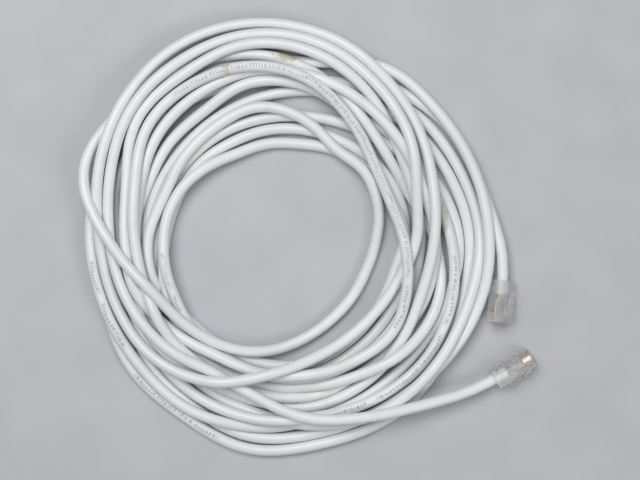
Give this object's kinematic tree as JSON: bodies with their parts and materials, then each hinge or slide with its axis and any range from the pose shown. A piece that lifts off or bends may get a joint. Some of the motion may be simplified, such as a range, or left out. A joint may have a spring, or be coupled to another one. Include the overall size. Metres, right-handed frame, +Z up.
{
  "type": "coiled ethernet cable",
  "caption": "Round network patch lead lying in a loose flat coil, with a clear modular plug with latch tab and gold contacts on each free end.",
  "frame": {"origin": "centre of the object's box in plan, on the surface that the coil lies on", "axes": "+Z up out of the surface, +X towards the side with both plugs, +Y away from the lower plug"},
  "size_m": [0.2228, 0.2154, 0.016],
  "materials": {
    "jacket": "soft sheen, off-white PVC",
    "clear_plastic": "clear polycarbonate",
    "gold_contact": "gold plated",
    "wire_white_orange": "coloured polyethylene insulation",
    "wire_orange": "coloured polyethylene insulation",
    "wire_white_green": "coloured polyethylene insulation",
    "wire_blue": "coloured polyethylene insulation",
    "wire_white_blue": "coloured polyethylene insulation",
    "wire_green": "coloured polyethylene insulation",
    "wire_white_brown": "coloured polyethylene insulation",
    "wire_brown": "coloured polyethylene insulation"
  },
  "bodies": {
    "root": {"cable_coil": "jacket", "cable_tail_a": "jacket", "cable_tail_b": "jacket", "plug_a_housing": "clear_plastic", "plug_a_contact_1": "gold_contact", "plug_a_contact_2": "gold_contact", "plug_a_contact_3": "gold_contact", "plug_a_contact_4": "gold_contact", "plug_a_contact_5": "gold_contact", "plug_a_contact_6": "gold_contact", "plug_a_contact_7": "gold_contact", "plug_a_contact_8": "gold_contact", "plug_a_wire_white_orange": "wire_white_orange", "plug_a_wire_orange": "wire_orange", "plug_a_wire_white_green": "wire_white_green", "plug_a_wire_blue": "wire_blue", "plug_a_wire_white_blue": "wire_white_blue", "plug_a_wire_green": "wire_green", "plug_a_wire_white_brown": "wire_white_brown", "plug_a_wire_brown": "wire_brown", "plug_b_housing": "clear_plastic", "plug_b_contact_1": "gold_contact", "plug_b_contact_2": "gold_contact", "plug_b_contact_3": "gold_contact", "plug_b_contact_4": "gold_contact", "plug_b_contact_5": "gold_contact", "plug_b_contact_6": "gold_contact", "plug_b_contact_7": "gold_contact", "plug_b_contact_8": "gold_contact", "plug_b_wire_white_orange": "wire_white_orange", "plug_b_wire_orange": "wire_orange", "plug_b_wire_white_green": "wire_white_green", "plug_b_wire_blue": "wire_blue", "plug_b_wire_white_blue": "wire_white_blue", "plug_b_wire_green": "wire_green", "plug_b_wire_white_brown": "wire_white_brown", "plug_b_wire_brown": "wire_brown"}
  },
  "joints": []
}
